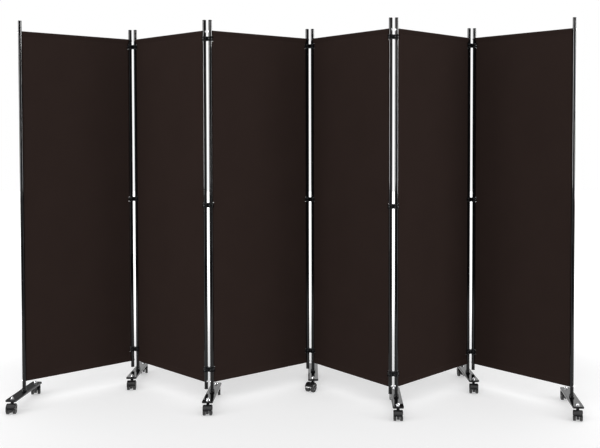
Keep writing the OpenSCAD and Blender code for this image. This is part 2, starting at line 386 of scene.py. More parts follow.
def cloth_finish():
    material, wire, shader = new_finish("brown_cloth", {"Specular IOR Level": 0.0})
    flat = wire.node("ShaderNodeUVMap", {"uv_map": "cloth"})
    across = wire.node("ShaderNodeSeparateXYZ", sockets={0: flat})
    turn = 2 * math.pi / THREAD_M
    weave = wire.math("SINE", across * turn) * wire.math("SINE", across.output("Y") * turn)
    streaks = []
    for stretch in ((900.0, 6.0, 1.0), (6.0, 900.0, 1.0)):
        stretched = wire.node("ShaderNodeMapping", sockets={"Vector": flat, "Scale": stretch})
        streaks.append(noise(wire, stretched, 1.0, 2.0))
    mottle = noise(wire, flat, 7.0, 4.0)
    tone = 0.22 * streaks[0] + 0.22 * streaks[1] + 0.36 * mottle + 0.10 * weave
    feed(wire, shader, "Base Color", mixed(
        wire, tone, tuple(0.80 * c for c in BROWN), tuple(1.30 * c for c in BROWN)))
    feed(wire, shader, "Roughness", 0.80 + 0.12 * mottle)
    bumped(wire, shader, weave + 0.8 * streaks[0] + 0.8 * streaks[1], 0.22, 0.00012)
    return material


def thread_finish():
    material, wire, shader = new_finish("sewing_thread", {"Specular IOR Level": 0.3})
    place = object_place(wire)
    twist = wire.node(
        "ShaderNodeTexWave", sockets={"Vector": place, "Scale": 900.0, "Distortion": 1.0}, out=1)
    feed(wire, shader, "Base Color", mixed(wire, twist, (0.020, 0.014, 0.012), (0.042, 0.030, 0.026)))
    feed(wire, shader, "Roughness", 0.45 + 0.2 * twist)
    return material


brown_cloth, sewing_thread = cloth_finish(), thread_finish()
print("cloth and thread made")

# %% [markdown]
# ## Posts
# A post is a 16 mm tube with a 1 mm wall. Seven reach down into a foot and five end just above one. A lathe
# profile that goes up the outside and down the inside gives the real wall, with a small chamfer at the ends.

# %% Sizes of the frames
TOP_Z = 1.730
POST_R, POST_WALL = 0.008, 0.001
RAIL_R, RAIL_WALL = 0.005, 0.0022
RAIL_Z = (0.1082, 1.6778)
CAP_T, CAP_DEPTH = 0.003, 0.014
FOOT_TOP = 0.0603
LONG_END, SHORT_END = FOOT_TOP + 0.0003, FOOT_TOP + 0.012
CHAMFER, FIT_GAP, PLUG_FLARE = 0.0004, 0.0001, 0.0006


def post_patch(low, high):
    """Up the outside, over the rim and down the inside; the first row joins the last one."""
    inside = POST_R - POST_WALL
    profile = [(POST_R - CHAMFER, low), (POST_R, low + CHAMFER)]
    profile += [(POST_R, z) for z in np.linspace(low + 0.01, high - 0.01, 12)]
    profile += [(POST_R, high - CHAMFER), (POST_R - CHAMFER, high), (inside, high), (inside, low)]
    return lathe(profile, 64)


# %% [markdown]
# ## Caps and plugs
# A plastic cap closes the top of each post, level with the tube. A short post has a plug in its lower end
# that is a little wider than the tube, which shows as a small flare just above the plate.


# %% Caps
def cap_patch(flare):
    """A cap that faces down: crowned end, rounded rim, flange and the spigot up in the tube."""
    rim, bore = POST_R + flare, POST_R - POST_WALL
    profile = [(0.0, 0.0), (0.55 * rim, 0.0001), (rim - 0.0012, 0.0003)]
    profile += arc((rim - 0.0010, 0.0013), 0.0010, -80, 0, 5)
    profile += [(rim, CAP_T - 0.0006), (rim - 0.0004, CAP_T - 0.0001), (bore - FIT_GAP, CAP_T)]
    profile += [(bore - FIT_GAP, CAP_DEPTH), (bore - 0.0010, CAP_DEPTH + 0.001), (0.0, CAP_DEPTH + 0.001)]
    return lathe(profile)


# %% [markdown]
# ## Rails and their screws
# A rail is a 10 mm tube whose ends are cut to fit the round posts. Where the ring of the tube is y from the
# middle, the saddle lies sqrt(R^2 - y^2) from the post's axis. A domed screw goes through the post into it.


# %% Rails
def rail_patch(width, z):
    """A tube along X whose end points lie on the posts' surfaces."""
    angle, share = full_turn(48), np.linspace(0, 1, 9)[:, None]
    walls = []
    for radius in (RAIL_R, RAIL_R - RAIL_WALL):
        y = radius * np.cos(angle)
        saddle = np.sqrt((POST_R + FIT_GAP) ** 2 - y**2)
        walls.append(grid_of(saddle + share * (width - 2 * saddle), y, z + radius * np.sin(angle)))
    return np.concatenate([walls[0], walls[1][::-1]])


# %% Screw heads
SCREW_R, SCREW_H, SCREW_BRIM = 0.00425, 0.0028, 0.0008
RECESS_ARM, RECESS_HALF, RECESS_DEEP, RECESS_EDGE = 0.0022, 0.00045, 0.0012, 0.0002


def screw_patch():
    """A domed head on Z with a cross cut in it: height = dome(r) less the recess inside the cross."""
    angle = full_turn(64)
    radius = np.concatenate([np.linspace(0, 0.0026, 14), np.linspace(0.0029, SCREW_R, 8)])[:, None]
    x, y = radius * np.cos(angle), radius * np.sin(angle)
    bulge = np.sqrt(np.clip(1 - (radius / (SCREW_R * 1.02)) ** 2, 0, 1))
    dome = SCREW_BRIM + (SCREW_H - SCREW_BRIM) * bulge
    small, large = np.minimum(abs(x), abs(y)), np.maximum(abs(x), abs(y))
    edge = np.minimum((RECESS_HALF - small) / RECESS_EDGE, (RECESS_ARM - large) / RECESS_EDGE)
    depth = RECESS_DEEP * np.clip(edge, 0, 1) * np.clip(1.15 - large / RECESS_ARM, 0.2, 1)
    head = grid_of(x, y, dome - depth)
    rim = lathe([(SCREW_R, 0.0005), (SCREW_R - 0.0004, 0.0), (0.0, 0.0)], 64)
    return np.concatenate([head, rim])


# %% Build the frames
def panel_frame(panel):
    origin, heading, width = panel_frame_of(panel)
    body, node = f"panel_{panel}", [f"panel_{panel}_frame"]
    posts, caps, screws = [], [], []
    for side, x in ((0, 0.0), (1, width)):
        footed = 2 * panel - 2 + side in FOOTED
        at = np.array([x, 0.0, 0.0])
        low = LONG_END if footed else SHORT_END + CAP_T
        posts.append((placed(post_patch(low, TOP_Z - CAP_T) + at, origin, heading), True, True))
        top = cap_patch(0.0) * np.array([1, 1, -1]) + np.array([0, 0, TOP_Z]) + at
        caps.append((placed(top, origin, heading), True, False))
        if not footed:
            plug = cap_patch(PLUG_FLARE) + np.array([0, 0, SHORT_END]) + at
            caps.append((placed(plug, origin, heading), True, False))
        outward = -1.0 if side == 0 else 1.0
        for z in RAIL_Z:
            head = laid_down(screw_patch() + np.array([0, 0, POST_R - 0.0002]), outward)
            screws.append((placed(head + at + np.array([0, 0, z]), origin, heading), True, False))
    rails = [(placed(rail_patch(width, z), origin, heading), True, True) for z in RAIL_Z]
    make_piece(f"{body}_posts", posts, post_paint, body, node)
    make_piece(f"{body}_rails", rails, post_paint, body, node)
    make_piece(f"{body}_caps", caps, clip_plastic, body, node)
    make_piece(f"{body}_screws", screws, zinc, body, node, crease=30)


for panel in range(1, PANELS + 1):
    panel_frame(panel)
print("frames made")

# %% [markdown]
# ## The cloth
# Each panel is one length of cloth. It is sewn round the lower rail and round the upper one, which makes two
# drop-shaped sleeves, and hangs tight between them. The grid has rows along the cloth and columns across it.
# The side edges step in where a clip turns on the post. Shallow puckers fade away from each seam.

# %% Sizes of the cloth
EDGE_GAP = POST_R + 0.0005
CLOTH_T, CLOTH_COLUMNS, CLOTH_SEED = 0.0007, 91, 100
FACE_OFF = CLOTH_T * 0.55
SLEEVE_R = RAIL_R + 0.0002 + CLOTH_T / 2
SEAM_DROP, TAIL = 0.019, 0.007
CLIP_Z = (0.162, 0.904, 1.646)
CLIP_HALF, CLIP_WAIST, CLIP_RIM = 0.010, POST_R + 0.00358, POST_R + 0.00608
NOTCH_ROOM, BESIDE_CLIP = 0.0008, 0.014
NOTCH_OFF = [0.0, 0.0034, CLIP_HALF - 0.0025, CLIP_HALF + NOTCH_ROOM, CLIP_HALF + 2 * NOTCH_ROOM]
NOTCH_IN = [CLIP_WAIST, CLIP_WAIST, CLIP_RIM, CLIP_RIM, EDGE_GAP - NOTCH_ROOM]
LOW_SEAM, HIGH_SEAM = RAIL_Z[0] + SEAM_DROP, RAIL_Z[1] - SEAM_DROP


def clipped_sides(panel):
    """Whether clips turn on a panel's left post and on its right one: the end posts have none."""
    return panel > 1, panel < PANELS


def edge_inset(z, clipped):
    """How far the cloth's edge lies from the post's axis: a plain gap, or a clip's outline with some room."""
    inset = np.full_like(z, EDGE_GAP)
    for clip_z in CLIP_Z if clipped else ():
        inset = np.maximum(inset, NOTCH_ROOM + np.interp(abs(z - clip_z), NOTCH_OFF, NOTCH_IN))
    return inset


def sleeve_path(rail_z, away):
    """The cloth's section round a rail, from the tail behind to the seam in front, as (y, z).

    It runs straight from the seam to the tangent of the circle of the sleeve, round it and back.
    """
    def thirds(start, stop):
        return [tuple(np.array(start) + t * (np.array(stop) - start)) for t in (0.33, 0.66)]

    tangent = math.degrees(math.acos(SLEEVE_R / SEAM_DROP))
    circle = arc((0.0, 0.0), SLEEVE_R, tangent - 90, 270 - tangent, 22)
    tail, back, front = (FACE_OFF, -SEAM_DROP - TAIL), (FACE_OFF, -SEAM_DROP), (-FACE_OFF, -SEAM_DROP)
    path = [tail, back, *thirds(back, circle[0]), *circle, *thirds(circle[-1], front), front]
    return [(y, rail_z + away * z) for y, z in path]


def cloth_path():
    """The whole section from the upper tail, over the upper rail, down the front, to the lower tail."""
    upper, lower = sleeve_path(RAIL_Z[1], 1), sleeve_path(RAIL_Z[0], -1)[::-1]
    heights = list(np.arange(HIGH_SEAM - 0.008, LOW_SEAM + 0.004, -0.024))
    for clip_z in CLIP_Z:
        heights += [clip_z + way * off for off in (*NOTCH_OFF, BESIDE_CLIP) for way in (-1, 1)]
    heights = sorted({round(z, 5) for z in heights if LOW_SEAM + 0.002 < z < HIGH_SEAM - 0.002}, reverse=True)
    return np.array(upper + [(-FACE_OFF, z) for z in heights] + lower)


# %% Puckers
PUCKER_HIGH, PUCKER_REACH, PUCKER_LENGTHS = 0.00022, 0.05, (0.031, 0.047, 0.083)
SWELL_HIGH, SWELL_LENGTHS = 0.0009, (0.61, 1.9)
SEAM_FADE, EDGE_FADE, EDGE_LEFT = 0.02, 0.06, 0.25


def pucker(x, z, seed):
    """Waves across the cloth that fall to a third 5 cm from a seam, and a slow swell over the whole panel."""
    rng = np.random.default_rng(seed)
    phase, swing = rng.uniform(0, 2 * np.pi, 6), rng.uniform(0.6, 1.0, 6)
    near = np.exp(-np.minimum(abs(z - LOW_SEAM), abs(z - HIGH_SEAM)) / PUCKER_REACH)
    ripples = sum(
        swing[n] * np.sin(2 * np.pi * x / length + phase[n]) for n, length in enumerate(PUCKER_LENGTHS))
    wide, high = SWELL_LENGTHS
    swell = np.sin(2 * np.pi * x / wide + phase[3]) * np.sin(2 * np.pi * z / high + phase[4])
    return PUCKER_HIGH * near * ripples + SWELL_HIGH * swell


def slack(x, z, width):
    """How free the cloth is to pucker: not at all at a seam, a quarter at a side edge, and 1 in between."""
    inside = np.clip(np.minimum(z - LOW_SEAM, HIGH_SEAM - z) / SEAM_FADE, 0, 1)
    taut = np.clip(np.minimum(x, width - x) / EDGE_FADE, EDGE_LEFT, 1)
    return inside * taut


# %% Cloth surface
def cloth_surface(width, seed, clipped):
    """Points of the cloth and its flat map: rows follow the section, columns go from edge to edge."""
    section = cloth_path()
    steps = np.linalg.norm(np.diff(section, axis=0), axis=1)
    along = np.concatenate([[0.0], np.cumsum(steps)])
    share = np.linspace(0, 1, CLOTH_COLUMNS)
    left, right = (edge_inset(section[:, 1], side)[:, None] for side in clipped)
    x = left + share * (width - left - right)
    z = section[:, 1:2]
    y = section[:, 0:1] + pucker(x, z, seed) * slack(x, z, width)
    flat = np.stack(np.broadcast_arrays(x, along[:, None]), axis=-1)
    return grid_of(x, y, z), flat, float(along[-1])


def hang_cloth(panel):
    origin, heading, width = panel_frame_of(panel)
    points, flat, length = cloth_surface(width, CLOTH_SEED + panel, clipped_sides(panel))
    rows, columns = points.shape[:2]
    mesh = bpy.data.meshes.new(f"panel_{panel}_cloth")
    quads = grid_faces(rows, columns, False, False, 0)
    mesh.from_pydata(placed(points, origin, heading).reshape(-1, 3), [], quads)
    unfolded = mesh.uv_layers.new(name="cloth")
    unfolded.data.foreach_set("uv", flat.reshape(-1, 2)[quads.reshape(-1)].astype(np.float32).ravel())
    mesh.polygons.foreach_set("use_smooth", np.ones(len(quads), dtype=bool))
    mesh.materials.append(brown_cloth)
    cloth = in_scene(f"panel_{panel}_cloth", mesh)
    thick = cloth.modifiers.new("thickness", "SOLIDIFY")
    thick.thickness, thick.offset = CLOTH_T, 0.0
    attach(cloth, f"panel_{panel}")
    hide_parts(f"panel_{panel}_fabric")
    return cloth, width - 2 * EDGE_GAP, length


# %% [markdown]
# ## Hems and stitches
# The side edges are folded back and sewn down, which doubles the cloth in a strip 11 mm wide behind. The hem
# is a thin closed strip that follows the edge. Lock stitches show on both faces as short rounded dashes with
# a few faces each, because there are about a thousand on a panel.

# %% Hem strips
HEM_W, HEM_T = 0.011, 0.0011
HEM_BACK = CLOTH_T * 0.3 + HEM_T
STITCH_STEP, STITCH_LONG, STITCH_R, STITCH_OFF = 0.0042, 0.0031, 0.00028, CLOTH_T * 1.05


def hem_patch(width, side, seed, clipped):
    """A flattened ring carried up the cloth's edge, on the back of the cloth."""
    z = np.concatenate([
        np.linspace(LOW_SEAM - 0.004, HIGH_SEAM + 0.004, 60),
        *[clip_z + way * np.array([*NOTCH_OFF[1:], BESIDE_CLIP]) for clip_z in CLIP_Z for way in (-1, 1)]])
    z = np.sort(z)[:, None]
    around = full_turn(12)
    x = edge_inset(z, clipped) + 0.0001 + HEM_W / 2 * (1 + squared(np.cos(around), 0.35))
    if side:
        x = width - x
    deep = HEM_T / 2 * squared(np.sin(around), 0.6)
    y = HEM_BACK - HEM_T / 2 + deep + pucker(x, z, seed) * slack(x, z, width)
    return capped(grid_of(x, y, z))


# %% Stitch rows
def stitch_patches(starts, ends, out, offset):
    """Short four-sided dashes from starts to ends; out is the way off the cloth, offset how far."""
    ahead = ends - starts
    ahead /= np.linalg.norm(ahead, axis=1, keepdims=True)
    middle = (starts + ends) / 2 + out * offset
    around = full_turn(4)[:, None, None]
    ring = np.cos(around) * np.cross(ahead, out) + np.sin(around) * out
    profile = [(-0.5, 0.0), (-0.36, 0.9), (0.0, 1.15), (0.36, 0.9), (0.5, 0.0)]
    grid = np.stack([middle + ahead * STITCH_LONG * t + ring * STITCH_R * r for t, r in profile])
    return [(dash, True, False) for dash in np.moveaxis(grid, 2, 0)]


def stitch_lines(width):
    """Where the seams run: up both hems and along both sleeves, as (x0, z0, x1, z1, how far off behind)."""
    z = np.arange(LOW_SEAM + 0.006, HIGH_SEAM - 0.004, STITCH_STEP)
    keep = np.ones(len(z), bool)
    for clip_z in CLIP_Z:
        keep &= abs(z - clip_z) > CLIP_HALF + 0.004
    z = z[keep]
    x = np.arange(EDGE_GAP + 0.004, width - EDGE_GAP - 0.004, STITCH_STEP)
    lines = []
    for sewn_x in (EDGE_GAP + HEM_W - 0.002, width - EDGE_GAP - HEM_W + 0.002):
        lines.append((sewn_x, z, sewn_x, z + STITCH_LONG, HEM_BACK))
    for seam in (LOW_SEAM, HIGH_SEAM):
        lines.append((x, seam, x + STITCH_LONG, seam, STITCH_OFF))
    return lines


def sew(panel):
    origin, heading, width = panel_frame_of(panel)
    patches = []
    for x0, z0, x1, z1, behind in stitch_lines(width):
        bulge = pucker((x0 + x1) / 2, (z0 + z1) / 2, CLOTH_SEED + panel) * slack(x0, z0, width)
        starts, ends = grid_of(x0, bulge, z0), grid_of(x1, bulge, z1)
        for way, offset in ((-1.0, STITCH_OFF), (1.0, behind)):
            patches += stitch_patches(starts, ends, np.array([0.0, way, 0.0]), offset)
    placed_patches = [(placed(grid, origin, heading), *closed) for grid, *closed in patches]
    return make_piece(
        f"panel_{panel}_stitches", placed_patches, sewing_thread, f"panel_{panel}", crease=80)


# %% Hang every cloth
flat_sizes = []
for panel in range(1, PANELS + 1):
    cloth, flat_width, flat_length = hang_cloth(panel)
    origin, heading, width = panel_frame_of(panel)
    strips = [
        (placed(hem_patch(width, side, CLOTH_SEED + panel, clipped), origin, heading), True, False)
        for side, clipped in enumerate(clipped_sides(panel))]
    hems = make_piece(
        f"panel_{panel}_hems", strips, brown_cloth, f"panel_{panel}", [f"panel_{panel}_fabric"], 60)
    stitches = sew(panel)
    flat_sizes.append((round(flat_width, 3), round(flat_length, 3)))
print("cloth cut to", flat_sizes[0], "m")

# %% [markdown]
# ## Hinge clips
# A clip is two spools side by side, each turning on one post, with a web between them. The spool's rims flare
# out, and the light catches their edges. Three clips make a hinge.

# %% Clip shapes
CLIP_BORE = POST_R + 0.00008
WEB_HALF, CLIP_WEAR = 0.0045, 0.0024


def spool():
    """Lathe profile: rounded lower rim, slope to the waist, slope to the upper rim, then down the bore."""
    lower = arc((CLIP_RIM - 0.0010, -CLIP_HALF + 0.0010), 0.0010, -90, 40, 6)
    waist = [(CLIP_WAIST + 0.0004, -0.0045), (CLIP_WAIST, -0.0034)]
    waist += [(r, -z) for r, z in waist[::-1]]
    upper = [(r, -z) for r, z in lower[::-1]]
    bore = [(CLIP_BORE + 0.0004, CLIP_HALF), (CLIP_BORE, CLIP_HALF - 0.0004),
            (CLIP_BORE, -CLIP_HALF + 0.0004), (CLIP_BORE + 0.0004, -CLIP_HALF)]
    return lathe(lower + waist + upper + bore, 64)


def web(pitch):
    """A rounded bar from one spool's wall to the other's; its section is a superellipse in Y and Z."""
    x = np.array([CLIP_BORE + 0.0012, CLIP_WAIST, pitch / 2, pitch - CLIP_WAIST, pitch - CLIP_BORE - 0.0012])
    swell = np.array([1.06, 1.02, 1.0, 1.02, 1.06])[:, None]
    around = full_turn(40)
    y = WEB_HALF * squared(np.cos(around), 0.3)
    z = (CLIP_HALF - 0.0004) * squared(np.sin(around), 0.3)
    return capped(grid_of(x[:, None], swell * y, z))


# %% Build the clips
for hinge in range(1, HINGES + 1):
    left, right = post_xy[2 * hinge - 1], post_xy[2 * hinge]
    pitch = float(np.linalg.norm(right - left))
    patches, values = [], []
    for clip_z in CLIP_Z:
        lift = np.array([0, 0, clip_z])
        for x in (0.0, pitch):
            eye = spool()
            from_waist = np.hypot(eye[..., 0], eye[..., 1]) - CLIP_WAIST
            values.append(np.clip(from_waist / CLIP_WEAR, 0, 1).ravel())
            patches.append((placed(eye + lift + np.array([x, 0, 0]), left, right - left), True, True))
        bar = web(pitch)
        values.append(np.zeros(bar[..., 0].size))
        patches.append((placed(bar + lift, left, right - left), True, False))
    make_piece(
        f"hinge_{hinge}_clip_set", patches, clip_plastic, f"hinge_{hinge}",
        [f"hinge_{hinge}_clips"], 40, np.concatenate(values))
print("clips made")

# %% [markdown]
# ## Feet
# A foot is pressed from 2 mm sheet: a flat top, edges that turn down 8 mm all round, and a short cup that
# takes the post. Its outline is a rounded rectangle. An inset of the outline stays a rounded rectangle, so
# the pressing is that outline carried along the edge's profile of (inset, height).

# %% Foot shapes
FOOT_HALF_L, FOOT_HALF_W, FOOT_CORNER = 0.145, 0.0245, 0.008
FOOT_SHEET, FOOT_EDGE, FOOT_BEND = 0.002, 0.008, 0.003
CUP_R, CUP_BORE, CUP_H = POST_R + 0.00308, POST_R + 0.00008, 0.011


def outline(inset, side_steps=24, end_steps=6, corner_steps=8):
    """A rounded rectangle drawn inset from the foot's own: straight sides and four arcs, in order."""
    half_w, half_l = FOOT_HALF_W - inset, FOOT_HALF_L - inset
    corner = max(FOOT_CORNER - inset, 0.0)
    centres = np.array([(1, 1), (-1, 1), (-1, -1), (1, -1)]) * (half_w - corner, half_l - corner)
    points = []
    for quarter in range(4):
        points.append(arc(centres[quarter], corner, 90 * quarter, 90 * quarter + 90, corner_steps))
        last = np.array(points[-1][-1])
        step = centres[(quarter + 1) % 4] - centres[quarter]
        steps = end_steps if quarter % 2 == 0 else side_steps
        points.append(last + step * np.linspace(0, 1, steps + 1)[1:-1, None])
    return np.concatenate(points)


def pressing():
    """Rows go from the middle of the top out over the rounded edge, down the lip and back underneath."""
    edge = [(FOOT_HALF_W, FOOT_TOP), (0.016, FOOT_TOP), (0.009, FOOT_TOP), (0.005, FOOT_TOP)]
    edge += arc((FOOT_BEND, FOOT_TOP - FOOT_BEND), FOOT_BEND, 90, 180, 8)
    low = FOOT_TOP - FOOT_EDGE
    edge += [(0.0, low + 0.0005), (0.0004, low), (FOOT_SHEET - 0.0004, low), (FOOT_SHEET, low + 0.0005)]
    under = FOOT_TOP - FOOT_SHEET
    edge += [(FOOT_SHEET, under - 0.0015), (FOOT_SHEET + 0.0005, under - 0.0004)]
    edge += [(FOOT_SHEET + 0.0016, under), (0.012, under), (FOOT_HALF_W, under)]
    return np.stack([grid_of(*outline(inset).T, z) for inset, z in edge])


def cup():
    """The cup round the post: fillet at the plate, rounded mouth, and a straight bore."""
    profile = [(CUP_R + 0.0022, FOOT_TOP - 0.0004), (CUP_R + 0.0014, FOOT_TOP + 0.0002)]
    profile += arc((CUP_R + 0.0015, FOOT_TOP + 0.0015), 0.0015, 250, 180, 5)
    profile += arc((CUP_R - 0.0010, FOOT_TOP + CUP_H - 0.0010), 0.0010, 0, 90, 5)
    profile += [(CUP_BORE + 0.0004, FOOT_TOP + CUP_H), (CUP_BORE, FOOT_TOP + CUP_H - 0.0004)]
    profile += [(CUP_BORE, FOOT_TOP - 0.0004)]
    return lathe(profile, 64)


# %% Bolt
def hexagon(flat, steps):
    """A hexagon's radius at each angle: the flat's distance over the cosine of the angle from its middle."""
    return flat / np.cos((full_turn(steps) + np.pi / 6) % (np.pi / 3) - np.pi / 6)


def bolt_head():
    """A socket-head bolt under the sheet: rounded rim and a six-sided hole."""
    low, rim, six = FOOT_TOP - FOOT_SHEET - 0.004, 0.0068, hexagon(0.0030, 48)
    profile = [(0.0, low + 0.0025), (six, low + 0.0025), (six, low + 0.0002), (six * 1.08, low)]
    profile += [(rim - 0.0006, low), (rim, low + 0.0006), (rim, low + 0.0039), (0.0, low + 0.0039)]
    return lathe(profile)


# %% [markdown]
# ## Nuts, studs and collars
# A domed nut clamps each caster's stud on top of the plate. It is a hexagon with chamfered corners that runs
# into a dome: at each height the radius is the smaller of the hexagon's and the chamfer cone's.

# %% Nuts and collars
NUT_FLAT, NUT_HEX_H, NUT_H = 0.006, 0.0046, 0.0092
NUT_CONE = ((-0.0004, 0.0), (0.0, 0.0001), (0.0010, 0.0006), (0.0010, 0.0037), (0.0004, 0.0042))
STUD_AT = float(np.linalg.norm(pivot["caster_1_back_swivel"] - pivot["caster_1_front_swivel"])) / 2
COLLAR_R, STUD_R, CASTER_TOP = 0.006, 0.004, 0.046


def domed_nut():
    """Rows of the hexagon cut by the chamfer cone, and a half ellipse turned about Z above them."""
    corners, dome_r = hexagon(NUT_FLAT, 72), NUT_FLAT - 0.0007
    rows = [(0.0, 0.0)] + [(np.minimum(corners, NUT_FLAT + cone), z) for cone, z in NUT_CONE]
    rows += [(NUT_FLAT - 0.0003, NUT_HEX_H), (dome_r, NUT_HEX_H + 0.0001)]
    rows += [(dome_r * math.cos(a), NUT_HEX_H + 0.0001 + (NUT_H - NUT_HEX_H) * math.sin(a))
             for a in np.radians(np.linspace(8, 90, 10))]
    return lathe(rows, 72)


def washer():
    rim, high = 0.0080, 0.0010
    profile = [(0.0, 0.0), (rim - 0.0002, 0.0), (rim, 0.0002)]
    return lathe(profile + [(radius, high - z) for radius, z in profile[::-1]])


def collar():
    """The stud with its collar: a groove near the top, where it meets the sheet, and rounded edges."""
    low, high = CASTER_TOP + 0.0003, FOOT_TOP - FOOT_SHEET - 0.0001
    profile = [(0.0, low - 0.018), (STUD_R - 0.0004, low - 0.018), (STUD_R, low - 0.0176), (STUD_R, low)]
    profile += [(COLLAR_R - 0.0006, low), (COLLAR_R, low + 0.0006), (COLLAR_R, high - 0.0030)]
    profile += [(COLLAR_R - 0.0008, high - 0.0026), (COLLAR_R - 0.0008, high - 0.0018)]
    profile += [(COLLAR_R, high - 0.0014), (COLLAR_R, high - 0.0002), (COLLAR_R - 0.0002, high), (0.0, high)]
    return lathe(profile, 40)


# %% Build the feet
def on_foot(foot, points, closed_rows=False):
    """A patch of a foot at its place: the foot's own Y runs from its front caster to its back one."""
    along = (pivot[f"caster_{foot}_back_swivel"] - pivot[f"caster_{foot}_front_swivel"])[:2]
    return placed(points, post_xy[FOOTED[foot - 1]], (along[1], -along[0])), True, closed_rows


for foot in range(1, len(FOOTED) + 1):
    body = f"foot_{foot}"
    plate = [on_foot(foot, pressing()), on_foot(foot, cup(), True)]
    make_piece(f"{body}_plate", plate, foot_paint, body, [body], 50)
    make_piece(f"{body}_bolt", [on_foot(foot, bolt_head())], black_steel, body, [body])
    nuts, collars = [], []
    for y in (-STUD_AT, STUD_AT):
        nuts.append(on_foot(foot, domed_nut() + np.array([0, y, FOOT_TOP + 0.0006])))
        nuts.append(on_foot(foot, washer() + np.array([0, y, FOOT_TOP - 0.0001])))
        collars.append(on_foot(foot, collar() + np.array([0, y, 0])))
    make_piece(f"{body}_nuts", nuts, zinc, body, [f"{body}_studs"])
    make_piece(f"{body}_collars", collars, black_steel, body, [f"{body}_studs"])
print("feet made, studs", round(STUD_AT, 4), "m from the post")

# %% [markdown]
# ## Casters
# A hood covers the upper part of two wheels and hangs on the stud by a boss. The hood is a band round the
# axle whose section is flat with rounded shoulders. A web between the wheels joins hood, boss and axle.

# %% Sizes of the casters
WHEEL_R, WHEEL_W, WHEEL_GAP, TRAIL = 0.021, 0.0125, 0.016, 0.021
TREAD_ROUND, WEB_T = 0.0024, 0.012
HOOD_IN, HOOD_OUT = 0.0223, 0.025
CASTER_HALF_W = WHEEL_GAP / 2 + WHEEL_W
BOSS_R, BOSS_H = 0.007, 0.022
HOOD_ENDS, HOOD_ROUND = (12.2, 167.8), 0.0035
HOOD_WEAR_FROM, TREAD_WEAR_FROM = 0.0236, 0.0196


def hood():
    """A band swept round the axle (X is ahead, Z up): rounded shoulders outside, a lip at each side."""
    outer = [(-CASTER_HALF_W, HOOD_IN + 0.0002)]
    outer += arc((-CASTER_HALF_W + HOOD_ROUND, HOOD_OUT - HOOD_ROUND), HOOD_ROUND, 165, 90, 7)
    section = outer + [(-y, r) for y, r in outer[::-1]]
    section += [(y, HOOD_IN) for y in np.linspace(CASTER_HALF_W - 0.0012, -CASTER_HALF_W + 0.0012, 8)]
    across, radius = np.array(section).T
    angle = np.radians(np.linspace(*HOOD_ENDS, 33))[:, None]
    return capped(grid_of(radius * np.cos(angle), across, radius * np.sin(angle)))


def web_plate():
    """The web between the wheels: a half disc in X and Z with softened faces, thick across Y."""
    low = -0.0088
    reach = HOOD_OUT - 0.0008
    start = math.degrees(math.asin(low / reach))
    ring = arc((0.0, 0.0), reach, start, 180 - start, 30)
    ring += [(x, low) for x in np.linspace(ring[-1][0], ring[0][0], 10)[1:-1]]
    middle = np.array([0.0, 0.006])
    side = [(-WEB_T / 2, 0.0), (-WEB_T / 2, 0.97), (-WEB_T / 2 + 0.0007, 1.0)]
    y, share = np.array(side + [(-y, share) for y, share in side[::-1]]).T[:, :, None]
    loops = middle + (np.array(ring) - middle) * share[..., None]
    return grid_of(loops[..., 0], y, loops[..., 1])


def boss():
    """The socket for the stud, with a rounded top that stands level with the hood."""
    high = CASTER_TOP - WHEEL_R
    profile = [(0.0, high - BOSS_H), (BOSS_R - 0.0006, high - BOSS_H), (BOSS_R, high - BOSS_H + 0.0006)]
    profile += arc((BOSS_R - 0.0012, high - 0.0012), 0.0012, 0, 90, 5)
    profile += [(STUD_R + 0.0006, high), (STUD_R + 0.0002, high - 0.0006)]
    profile += [(STUD_R + 0.0002, high - 0.0196), (0.0, high - 0.0198)]
    return lathe(profile)


def shoulder():
    """A block that fairs the boss into the hood: a superellipse section in Y and Z carried along X."""
    high = CASTER_TOP - WHEEL_R
    x = -TRAIL * np.array([1.0, 0.75, 0.45, 0.15])[:, None]
    half_w = BOSS_R * np.array([0.98, 1.0, 1.0, 0.9])[:, None]
    around = full_turn(32)
    z = high - BOSS_H / 4 + BOSS_H / 4 * squared(np.sin(around), 0.45)
    return capped(grid_of(x, half_w * squared(np.cos(around), 0.45), z))


# %% Wheels
def wheel_profile():
    """Half a wheel's section from the axle outwards: inner face, rounded tread, outer face with a dish."""
    middle = WHEEL_R - TREAD_ROUND
    face = [(0.0, 0.0), (0.0026, 0.0), (0.0062, 0.0), (0.0066, 0.0004), (middle, 0.0004)]
    face += arc((middle, TREAD_ROUND), TREAD_ROUND, -80, 0, 6)
    face += arc((middle, WHEEL_W - TREAD_ROUND), TREAD_ROUND, 0, 80, 6)
    face += [(middle - 0.0008, WHEEL_W), (middle - 0.0016, WHEEL_W - 0.0006),
             (middle - 0.0026, WHEEL_W - 0.0018), (0.0088, WHEEL_W - 0.0020), (0.0074, WHEEL_W - 0.0012)]
    face += [(0.0066, WHEEL_W - 0.0002), (0.0058, WHEEL_W)]
    return face + [(0.0030, WHEEL_W + 0.0001), (0.0, WHEEL_W + 0.0001)]


def wheel(side):
    """A wheel on the Y axis, and how worn each point is: most on the tread."""
    x, z, out = np.moveaxis(lathe(wheel_profile(), 64), -1, 0)
    worn = np.clip((np.hypot(x, z) - TREAD_WEAR_FROM) / 0.0012, 0, 1)
    return grid_of(x, side * (WHEEL_GAP / 2 + out), z), worn


def axle():
    reach = WHEEL_GAP / 2
    return lathe([(0.0, -reach), (0.0025, -reach), (0.0025, reach), (0.0, reach)], 24)[..., [0, 2, 1]]


